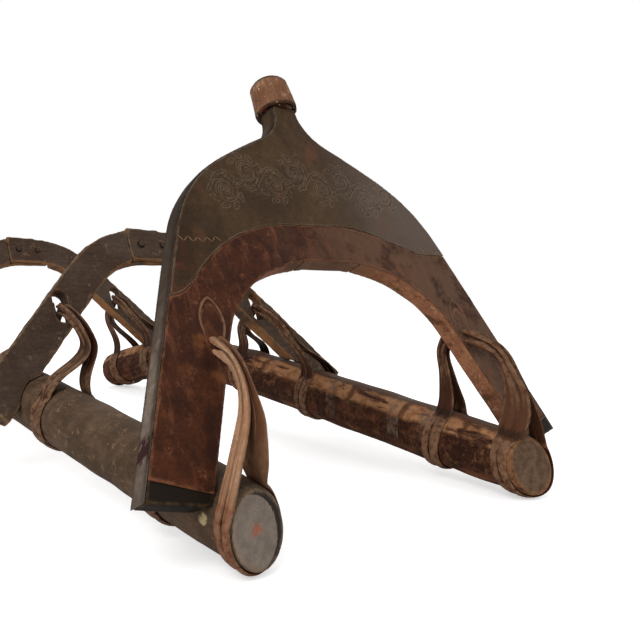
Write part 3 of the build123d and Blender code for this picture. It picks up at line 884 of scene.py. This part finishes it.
def tongue(side, crest):
    """Points and faces of one tongue: rings from its rim in, a flat back, and a point in each middle."""
    outline = almond((side * (front_slot_x - 0.002), front_slot_level + crest),
                     (side * front_slot_x, front_slot_level - tongue_foot), tongue_width)[:-1]
    middle = outline.mean(0)
    points = []
    for ring in range(tongue_rings, 0, -1):
        share = ring / tongue_rings
        for x, t in outline:
            rough = 0.00018 * math.sin(x * 2100 + t * 900) * math.sin(t * 1900 + 1)
            out = tongue_rim + tongue_dome * (1 - share ** 2) + rough * (1 - share)
            points.append((middle[0] + (x - middle[0]) * share, middle[1] + (t - middle[1]) * share, out))
    points += [(x, t, tongue_back) for x, t in outline]
    points += [(*middle, tongue_rim + tongue_dome), (*middle, tongue_back)]
    count = len(outline)
    inmost, back = (tongue_rings - 1) * count, tongue_rings * count
    faces = ring_faces(tongue_rings, count)
    for step in range(count):
        beside = (step + 1) % count
        faces.append((inmost + step, back + count, inmost + beside))
        faces.append((back + step, step, beside, back + beside))
        faces.append((back + beside, back + count + 1, back + step))
    return points, faces


for name, side in sides.items():
    mesh = closed_mesh(f"slot_tongue_{name}", *tongue(side, tongue_crests[name]))
    settle(mesh, f"slot_tongue_{name}", [], band_leather, "front", 0.0003)

# Edge binding, a low roll round the outer edge
for name, side in sides.items():
    node = f"front_edge_strip_{name}"
    mesh = worn_copy(node, f"front_edge_roll_{name}", 0.0006, 2, "front")
    points, normals = skin_of(mesh)
    aside = np.abs(points[:, 2] + board_thickness / 2) / (board_thickness / 2)
    outward = smooth_step(normals[:, 0] * side + np.abs(normals[:, 1]) * 0.6, 0.2, 0.7)
    rolled = -0.0010 * outward * np.clip(aside, 0, 1) ** 4
    points += normals * (rolled + 0.00012 * swells(points, 0.02, 9))[:, None]
    move_points(mesh, points)
    settle(mesh, f"front_edge_roll_{name}", [node], edge_leather, "front", 0.0004)


# Hand-cut knob
knob_sides = 180
knob_widest = 0.0214
knob_taper = 0.0019
knob_widest_level = 0.0028
knob_smooth_within = 0.0175
knob_check_width = 0.035
knob_checks = ((0.4, 0.0006), (1.3, 0.0004), (2.2, 0.0005), (3.5, 0.0007), (4.1, 0.0005), (4.6, 0.0006),
               (5.5, 0.0005))


def knob_uneven(angle, level, radius):
    """Whittled flats and upright checks in the knob's side, as a depth."""
    if radius < knob_smooth_within:
        return 0
    flats = 0.0004 * abs(math.sin(angle * 4.5 + 2 * math.sin(angle)))
    grooves = 0.0
    for place, depth in knob_checks:
        gap = math.remainder(angle - place - 0.6 * math.sin(level * 160 + place), 2 * math.pi)
        grooves += depth * math.exp(-((gap / knob_check_width) ** 2))
    return flats + grooves + 0.0003 * math.sin(3 * angle + 1 + level * 90)


def knob_shape(profile):
    """Points and faces turned about the neck's axis, from a profile of (radius, level over the neck)."""
    points = []
    for radius, level in profile[1:-1]:
        for step in range(knob_sides):
            angle = 2 * math.pi * step / knob_sides
            reach = radius - knob_uneven(angle, level, radius)
            points.append((reach * math.cos(angle), board_height + level,
                           reach * math.sin(angle) - board_thickness / 2))
    foot, top = len(points), len(points) + 1
    points += [(0, board_height + level, -board_thickness / 2) for _, level in (profile[0], profile[-1])]
    highest = foot - knob_sides
    faces = ring_faces(len(profile) - 2, knob_sides)
    for step in range(knob_sides):
        beside = (step + 1) % knob_sides
        faces.append((foot, step, beside))
        faces.append((top, highest + beside, highest + step))
    return points, faces


knob_foot = [(0, 0.0006), (0.0135, 0.0006), (0.0172, 0.0012), (0.0185, 0.0004), (0.0200, 0.0002),
             (0.0211, 0.0012), (knob_widest, knob_widest_level)]
knob_side = [(knob_widest - knob_taper * share, knob_widest_level + 0.0290 * share)
             for share in np.linspace(0.05, 1, 20)]
knob_top = [(0.0190, 0.0332), (0.0178, 0.0338), (0.0160, knob_height), (0, knob_height)]
mesh = closed_mesh("knob_turned", *knob_shape(knob_foot + knob_side + knob_top))
settle(mesh, "front_knob_turned", ["front_knob"], knob_finish, "front", 0.0006)

# Poles: shallow knocks and checks, both front ends dressed thinner
pole_dressing = 0.05
dressed_length = 0.055
check_count = 26
check_width = 0.016
shade_crescent_shift = (0.0062, 0.0008)
rust_spots = ((-0.0052, -0.0005, 0.0034), (-0.0022, 0.0028, 0.0026), (0.0016, 0, 0.0026))
filler_place = (0.028, -0.468)
filler_size = (0.0048, 0.055)
grey_rings = (0.118, 0.163, 0.262, 0.51, 0.60)
pale_lines = (0.110, 0.156, 0.170, 0.27, 0.505)


def pole_checks(along, around, random):
    """Long narrow drying cracks at random places, as a depth."""
    checks = np.zeros(len(along))
    for _ in range(check_count):
        place, start = random.uniform(-1, 1), random.uniform(0, 0.8)
        length, depth = random.uniform(0.05, 0.2), random.uniform(0.0004, 0.0011)
        gap = (around - place - 0.03 * np.sin(along * 60 + place * 5) + 1) % 2 - 1
        run = smooth_step(along, start, start + 0.02)
        run *= smooth_step(-along, -start - length, -start - length + 0.02)
        checks += depth * run * ridge(gap, check_width)
    return checks


def pole_masks(along, around, aside, upright, front_end):
    """What the pole finishes read: painted shade on the end's rim, rust on the end, the filler by the foot,
    rings and lines.
    """
    # painted shade: a crescent of shade on the inner side of the front end's rounded rim
    rim = smooth_step(np.hypot(aside + shade_crescent_shift[0], upright + shade_crescent_shift[1]), 0.0240, 0.0262)
    spots = sum(ridge(np.hypot(aside - out, upright - up), size) for out, up, size in rust_spots)
    filler = ridge(along, filler_size[0], filler_place[0]) * ridge(around, filler_size[1], filler_place[1])
    wavy = along + 0.004 * np.sin(around * 9)
    upper_side = smooth_step(-np.abs(around + 0.1), -0.62, -0.45)
    return {
        "along": along,
        "around": around,
        "end_face": front_end,
        "rim": front_end * rim * smooth_step(aside, -0.016, -0.004),
        "rust": front_end * np.minimum(1, spots),
        "filler": filler,
        "ring_mark": sum(ridge(wavy, 0.006, place, 4) for place in grey_rings) * upper_side,
        "ring_line": sum(ridge(wavy, 0.0009, place) for place in pale_lines) * upper_side,
    }


for name, side in sides.items():
    node = f"pole_{name}"
    mesh = worn_copy(node, f"pole_{name}_worn", 0.0022, 2)
    points, normals = skin_of(mesh)
    stations_along = np.linspace(-0.03, 0.9, 400)
    centres = np.array([pole_point(station)[0] for station in stations_along])
    along = np.interp(points[:, 1], centres[:, 1], stations_along)
    axis_z = np.interp(points[:, 1], centres[:, 1], centres[:, 2])
    aside = points[:, 0] - side * pole_gauge / 2
    upright = points[:, 2] - axis_z
    around = np.arctan2(aside, upright) / math.pi
    taper = 1 - pole_dressing * smooth_step(dressed_length - along, 0, 0.05)
    points[:, 0] = side * pole_gauge / 2 + aside * taper
    points[:, 2] = axis_z + upright * taper
    off_ends = smooth_step(np.abs(normals[:, 1]), 0.9, 0.5)
    checks = pole_checks(along, around, np.random.default_rng(40 + side))
    points -= normals * (off_ends * (checks + 0.00035 * swells(points, 0.05, 11) + 0.0002))[:, None]
    points[:, 2] = np.maximum(points[:, 2], 0)
    move_points(mesh, points)
    front_end = smooth_step(-normals[:, 1], 0.75, 0.9) * (along < 0.03)
    for key, values in pole_masks(along, around, aside, upright, front_end).items():
        store(mesh, key, values)
    finish = left_pole_finish if side < 0 else right_pole_finish
    settle(mesh, f"pole_{name}_worn", [node], finish, None, 0.0008)

# Slender arches: edges worn round, hollows from use
for arch in ("middle", "rear"):
    for name in sides:
        node = f"{arch}_arch_{name}"
        mesh = worn_copy(node, node + "_worn", 0.0018, 7, arch)
        points, normals = skin_of(mesh)
        hollows = 0.0004 * swells(points, 0.04, 21) - 0.0004 + 0.0002 * swells(points, 0.012, 22)
        points += normals * hollows[:, None]
        move_points(mesh, points)
        inward = -(normals[:, 0] * np.sign(points[:, 0]) * 0.6 + normals[:, 1])
        store(mesh, "soffit", smooth_step(inward, 0.35, 0.8))
        settle(mesh, node + "_worn", [node], slender_finish, arch, 0.0009)


# Rawhide lashings
strap_columns = 9
strand_half_gap = 0.0026
slot_meeting_gap = 0.0026
tail_over_mouth = 0.012
end_strap_closeness = 0.0020
end_leave = math.radians(35)
arch_leaves = {"front": math.radians(60), "middle": math.radians(45), "rear": math.radians(45)}


def bezier(start, way_out, end, way_in, shares, count):
    """Even bend between two places and directions."""
    start, end = np.array(start, float), np.array(end, float)
    way_out, way_in = np.array(way_out, float), np.array(way_in, float)
    span = np.linalg.norm(end - start)
    first = start + way_out * (span * shares[0] / np.linalg.norm(way_out))
    last = end - way_in * (span * shares[1] / np.linalg.norm(way_in))
    runs = np.linspace(0, 1, count)[:, None]
    return ((1 - runs) ** 3 * start + 3 * runs * (1 - runs) ** 2 * first
            + 3 * runs ** 2 * (1 - runs) * last + runs ** 3 * end)


def strap_path(pole_reach, left_leave, right_leave, mouth_x, neck, high):
    """Seen along the pole, from high in the slot down, round the pole and up again: (across, up)."""
    ring = [(pole_reach * math.cos(angle), pole_reach * math.sin(angle))
            for angle in np.linspace(math.pi - left_leave, 2 * math.pi + right_leave, 44)]
    gap = strand_half_gap + strap_thickness
    strands = []
    for start, leave, hand in ((ring[0], left_leave, -1), (ring[-1], right_leave, 1)):
        way_out = (-hand * 0.5 * math.sin(leave), 1)
        bend = bezier(start, way_out, (mouth_x + hand * gap, neck), (0, 1), (0.4, 0.3), 22)
        tail = [(mouth_x + hand * gap, v) for v in np.linspace(neck, high, 8)[1:]]
        strands.append(list(map(tuple, bend)) + tail)
    left, right = strands
    return np.array(left[::-1] + ring[1:-1] + right)


def mouth_shares(at_end, side, fore):
    """How far a strap's bend into the slot reaches from its two ends."""
    if not fore:
        return 0.4, 0.3
    return (0.5, 0.6) if at_end and side > 0 else (0.5, 0.34)


def strand_change(arch, fore, back_turn, inner_strand):
    """How far a bare strand stands forward, and how much wider it gets there."""
    if arch != "front":
        return 0, 0.1 if fore else 0.2
    if not fore:
        return 0.005, 0.25
    if not inner_strand:
        return 0.0030, 0.25
    return (0.0010, 2.3) if back_turn else (0.0085, 0.7)


def strap_height(share, outer, seed):
    """Height of a strap's face over its inside: crowned and ridged outside, nearly flat inside."""
    crown = 1 - abs(share) ** 3
    if outer:
        return strap_thickness * (0.28 + 0.72 * crown) + 0.00025 * math.sin(share * 7 + seed) * crown
    return 0.0002 * abs(share) + strap_thickness * 0.12 * (1 - crown)


def darkness(at_end, side, fore, v):
    """How dark a strap is: the front left one is pale, the ones behind darken up to the slot."""
    if at_end:
        return 0.0 if side < 0 else 0.75
    return 1.0 if fore else 0.6 + 0.4 * smooth_step(v, -0.01, 0.03)


def lashing(arch, name, fore):
    """Two crowned turns of rawhide round a pole, both led up into the slot of the leg."""
    side = sides[name]
    station, (slot_x, slot_t) = stations[arch], slots[arch]
    thickness = board_thickness if arch == "front" else band_thickness
    centre, slope = pole_point(station + strap_reaches[arch][0 if fore else 1])
    axis_point = Vector((side * pole_gauge / 2, centre.y, centre.z))
    along = Vector((0, math.cos(slope), math.sin(slope)))
    upward = Vector((0, -math.sin(slope), math.cos(slope)))
    at_end = arch == "front" and fore
    turn = math.tan(-side * pole_end_skew) if at_end else 0
    tilt = math.tan(strap_rake) if at_end else 0
    half = (thickness - slot_meeting_gap) / 2
    depths = (0, half) if fore else (thickness, thickness - half)
    climb = 0.006 if fore else 0.004

    def side_view(rank, depth):
        """A place in the slot as (along the pole, up from it)."""
        point = Vector(out_of_arch((side * slot_x, slot_t + rank, -depth), arch)) - axis_point
        return point.dot(along) - point.x * turn, point.dot(upward)

    mouth_x = side * (slot_x - pole_gauge / 2)
    top = side_view(0, depths[1])[1]
    neck = top - slot_length / 2
    pole_reach = strap_radius - (end_strap_closeness if at_end else 0)
    inner_leave = arch_leaves[arch]
    outer_leave = end_leave if at_end else inner_leave
    left_leave, right_leave = (outer_leave, inner_leave) if side < 0 else (inner_leave, outer_leave)
    path = strap_path(pole_reach, left_leave, right_leave, mouth_x, neck, top + tail_over_mouth)
    runs = np.concatenate([[0], np.cumsum(np.linalg.norm(np.diff(path, axis=0), axis=1))])
    tangents = np.gradient(path, runs, axis=0)
    tangents /= np.linalg.norm(tangents, axis=1)[:, None]
    outward = np.stack([tangents[:, 1], -tangents[:, 0]], 1)
    section = [(1, share) for share in np.linspace(-1, 1, strap_columns)]
    section += [(-1, -share) for _, share in section]
    loop = len(section)

    points, faces, flat = [], [], []
    masks = {"inner": [], "round_pole": [], "strap_edge": [], "darkened": []}
    for order, edges in enumerate(end_turns if at_end else strap_turns):
        outlines = []
        for start, in_slot in edges:
            rank = -in_slot if fore else in_slot
            mouth = side_view(rank - climb / 2, depths[0])
            end = side_view(rank + climb / 2, depths[1])
            way_in = (end[0] - mouth[0], end[1] - mouth[1])
            low = -strap_radius - strap_thickness
            bend = bezier((start, 0), (tilt, 1), mouth, way_in, mouth_shares(at_end, side, fore), 40)
            outline = np.concatenate([[(start + low * tilt, low)], bend, [end]])
            outlines.append(outline[np.argsort(outline[:, 1])])
        tops = [outline[-1, 1] for outline in outlines]
        inside = np.where(path[:, 1] <= max(tops) + 0.0005)[0]
        base = len(points)
        seed = 7 * order + 31 * side + 3 * len(arch)
        for index in inside:
            x, v = path[index]
            front_edge, back_edge = (np.interp(v, outline[:, 1], outline[:, 0]) for outline in outlines)
            middle, width = (front_edge + back_edge) / 2, (back_edge - front_edge) / 2
            bare = smooth_step(v, 0.010, 0.045) * smooth_step(-v, -neck, -neck + 0.03)
            inner_strand = (x - mouth_x * smooth_step(v, 0, neck)) * side < 0
            forward, wider = strand_change(arch, fore, order == 1, inner_strand)
            middle -= forward * bare
            width *= 1 + wider * bare
            if at_end:
                low_inside = smooth_step(-side * x, -0.020, 0.020) * (1 - smooth_step(v, 0.03, 0.06))
                middle += 0.0050 * low_inside
            width *= 1 + 0.05 * math.sin(runs[index] * 150 + seed)
            middle += 0.0006 * math.sin(runs[index] * 70 + seed)
            for face_side, share in section:
                outer = face_side > 0
                off = strap_height(share, outer, seed) - strap_thickness
                mouth_top = tops[0] + (tops[1] - tops[0]) * (1 + share) / 2
                level = v if v <= mouth_top else mouth_top + 0.06 * (v - mouth_top)
                px = x + outward[index, 0] * off
                pv = level + outward[index, 1] * off
                u = middle + width * share + px * turn
                points.append(axis_point + across * px + along * u + upward * pv)
                flat.append((runs[index], share * width))
                # mask for painted shade: the inner strands above the pole and the faces against the pole
                masks["inner"].append(1.0 if inner_strand and v > 0 or not outer else 0.0)
                masks["round_pole"].append(float(smooth_step(-v, -0.045, 0.008)))
                masks["strap_edge"].append(abs(share) if outer else 0.8)
                masks["darkened"].append(darkness(at_end, side, fore, v))
        faces += ring_faces(len(inside), loop, base)
        faces.append(tuple(range(base, base + loop)))
        faces.append(tuple(range(len(points) - 1, len(points) - loop - 1, -1)))
    place = f"{arch}_{name}_{'fore' if fore else 'back'}"
    mesh = closed_mesh(f"strap_{place}", points, faces)
    layer = mesh.uv_layers.new(name="strap")
    corners = numbers_of(mesh.loops, "vertex_index", 1)[:, 0]
    layer.data.foreach_set("uv", np.array(flat, np.float32)[corners].ravel())
    for key, values in masks.items():
        store(mesh, key, values)
    settle(mesh, f"strap_{place}", [f"lashing_{place}"], rawhide_finish, None, 0.0006)


for arch in stations:
    for name in sides:
        for fore in (True, False):
            lashing(arch, name, fore)


# Thread stitches, laid along drawn lines of the front leather
def stitch_tree():
    """Geometry nodes that lay stitches along a line, each slanted the other way to the last."""
    tree = bpy.data.node_groups.new("thread_stitches", "GeometryNodeTree")
    tree.is_modifier = True
    tree.interface.new_socket(name="Geometry", in_out="INPUT", socket_type="NodeSocketGeometry")
    for name in ("Spacing", "Stitch Length", "Thread Radius", "Slant"):
        tree.interface.new_socket(name=name, in_out="INPUT", socket_type="NodeSocketFloat")
    tree.interface.new_socket(name="Thread", in_out="INPUT", socket_type="NodeSocketMaterial")
    tree.interface.new_socket(name="Geometry", in_out="OUTPUT", socket_type="NodeSocketGeometry")
    add, join = tree.nodes.new, tree.links.new
    take, end = add("NodeGroupInput").outputs, add("NodeGroupOutput")
    curve = add("GeometryNodeMeshToCurve")
    even = add("GeometryNodeResampleCurve")
    even.mode = "LENGTH"
    spots = add("GeometryNodeCurveToPoints")
    spots.mode = "EVALUATED"
    stitch = add("GeometryNodeMeshUVSphere")
    stitch.inputs["Segments"].default_value = 6
    stitch.inputs["Rings"].default_value = 5
    stitch.inputs["Radius"].default_value = 1
    halved = add("ShaderNodeMath")
    halved.operation = "MULTIPLY"
    halved.inputs[1].default_value = 0.5
    size = add("ShaderNodeCombineXYZ")
    drawn = add("GeometryNodeTransform")
    lie = add("FunctionNodeAlignRotationToVector")
    lie.axis = "Z"
    count = add("GeometryNodeInputIndex")
    odd = add("ShaderNodeMath")
    odd.operation = "MODULO"
    odd.inputs[1].default_value = 2
    hand = add("ShaderNodeMath")
    hand.operation = "MULTIPLY_ADD"
    hand.inputs[1].default_value = 2
    hand.inputs[2].default_value = -1
    slant = add("ShaderNodeMath")
    slant.operation = "MULTIPLY"
    about = add("FunctionNodeAxisAngleToRotation")
    about.inputs["Axis"].default_value = to_front
    turned = add("FunctionNodeRotateRotation")
    turned.rotation_space = "GLOBAL"
    laid = add("GeometryNodeInstanceOnPoints")
    real = add("GeometryNodeRealizeInstances")
    dyed = add("GeometryNodeSetMaterial")
    for source, target in (
        (take["Geometry"], curve.inputs["Mesh"]), (curve.outputs[0], even.inputs["Curve"]),
        (take["Spacing"], even.inputs["Length"]), (even.outputs[0], spots.inputs["Curve"]),
        (take["Stitch Length"], halved.inputs[0]), (take["Thread Radius"], size.inputs[0]),
        (take["Thread Radius"], size.inputs[1]), (halved.outputs[0], size.inputs[2]),
        (stitch.outputs["Mesh"], drawn.inputs["Geometry"]), (size.outputs[0], drawn.inputs["Scale"]),
        (spots.outputs["Tangent"], lie.inputs["Vector"]), (count.outputs[0], odd.inputs[0]),
        (odd.outputs[0], hand.inputs[0]), (hand.outputs[0], slant.inputs[0]),
        (take["Slant"], slant.inputs[1]), (slant.outputs[0], about.inputs["Angle"]),
        (lie.outputs[0], turned.inputs["Rotation"]), (about.outputs[0], turned.inputs["Rotate By"]),
        (spots.outputs["Points"], laid.inputs["Points"]), (drawn.outputs[0], laid.inputs["Instance"]),
        (turned.outputs[0], laid.inputs["Rotation"]), (laid.outputs[0], real.inputs[0]),
        (real.outputs[0], dyed.inputs["Geometry"]), (take["Thread"], dyed.inputs["Material"]),
        (dyed.outputs[0], end.inputs["Geometry"]),
    ):
        join(source, target)
    return tree


thread_stitches = stitch_tree()


def stitched(name, line, spacing, length, radius, slant, height=0.0019):
    """One row of stitches along a line of the front arch's plane."""
    points = out_of_arch(np.column_stack([line, np.full(len(line), height)]), "front")
    mesh = bpy.data.meshes.new(name)
    mesh.from_pydata([tuple(point) for point in points], [(i, i + 1) for i in range(len(points) - 1)], [])
    row = link(mesh, name + "_line")
    layer = row.modifiers.new("stitches", "NODES")
    layer.node_group = thread_stitches
    values = {"Spacing": spacing, "Stitch Length": length, "Thread Radius": radius, "Slant": slant,
              "Thread": thread_finish}
    for socket in thread_stitches.interface.items_tree:
        if socket.in_out == "INPUT" and socket.name in values:
            layer[socket.identifier] = values[socket.name]
    view = bpy.context.evaluated_depsgraph_get()
    sewn = bpy.data.meshes.new_from_object(row.evaluated_get(view))
    bpy.data.objects.remove(row)
    settle(sewn, name, [], thread_finish, None, 0.0003)


# The seam between the leathers, and the cross stitches at its two ends
seam_places = np.array([(-0.181, 0.178), (-0.171, 0.182), (-0.158, 0.191), (-0.147, 0.204), (-0.137, 0.213),
                        (-0.121, 0.225), (-0.102, 0.236), (-0.084, 0.242), (-0.060, 0.247), (-0.027, 0.251),
                        (-0.001, 0.252), (0.024, 0.251), (0.045, 0.248), (0.090, 0.239), (0.117, 0.231),
                        (0.163, 0.228)])
left_cross_places = np.array([(-0.160, 0.2285), (-0.140, 0.2280), (-0.124, 0.2300)])
right_cross_places = np.array([(0.130, 0.2335), (0.145, 0.2315), (0.160, 0.2300)])
cross_stitch = dict(spacing=0.0042, length=0.0062, radius=0.0004, slant=0.85)
stitched("seam_thread", seam_places, spacing=0.0034, length=0.0026, radius=0.00028, slant=0.0)
stitched("left_cross_stitches", left_cross_places, **cross_stitch)
stitched("right_cross_stitches", right_cross_places, **cross_stitch)

# Pegs, dowels and cap stay as the frame has them
for node, piece in frame["nodes"].items():
    if piece.hide_render:
        continue
    for place in piece.material_slots:
        place.material = slot_finishes[node_slots[node]]

# Floor, white to the camera, and plain soft studio light
floor_reach = 6
floor_mesh = bpy.data.meshes.new("floor")
floor_corners = [(x * floor_reach, y * floor_reach, 0) for x, y in ((-1, -1), (1, -1), (1, 1), (-1, 1))]
floor_mesh.from_pydata(floor_corners, [], [(0, 1, 2, 3)])
floor = link(floor_mesh, "floor")
floor_finish, make, shader, place = new_material("floor_finish")
make.put(shader, "Base Color", (0.86, 0.86, 0.86, 1))
make.put(shader, "Roughness", 0.9)
make.put(shader, "Emission Color", (1, 1, 1, 1))
seen = make.add("ShaderNodeLightPath").outputs["Is Camera Ray"]
make.put(shader, "Emission Strength", make.times(seen, 0.5))
floor.data.materials.append(floor_finish)

world = bpy.data.worlds.new("studio")
bpy.context.scene.world = world
world.use_nodes = True
tree = world.node_tree
tree.nodes.clear()
make = Nodes(tree)
path = make.add("ShaderNodeLightPath")
seen = make.math("MAXIMUM", path.outputs["Is Camera Ray"],
                 make.math("MAXIMUM", path.outputs["Is Glossy Ray"], path.outputs["Is Transmission Ray"]))
glow = make.add("ShaderNodeBackground", Color=(1, 1, 1, 1))
make.put(glow, "Strength", make.steps(seen, 0, 1, 0.55, 1.0))
out = make.add("ShaderNodeOutputWorld")
tree.links.new(glow.outputs[0], out.inputs[0])

lamps_aim = Vector((0, -0.1, 0.15))
for name, place, size, power in (
    ("key", (-1.6, -1.0, 1.5), 1.2, 26),
    ("fill", (1.4, -1.6, 1.1), 1.6, 10),
    ("back", (0.6, 1.8, 1.6), 1.4, 14),
):
    lamp = bpy.data.lights.new(name, "AREA")
    lamp.size = size
    lamp.energy = power
    hung = bpy.data.objects.new(name, lamp)
    hung.location = place
    hung.rotation_euler = (lamps_aim - Vector(place)).to_track_quat("-Z", "Y").to_euler()
    bpy.context.collection.objects.link(hung)

bpy.context.scene.view_settings.view_transform = "Standard"
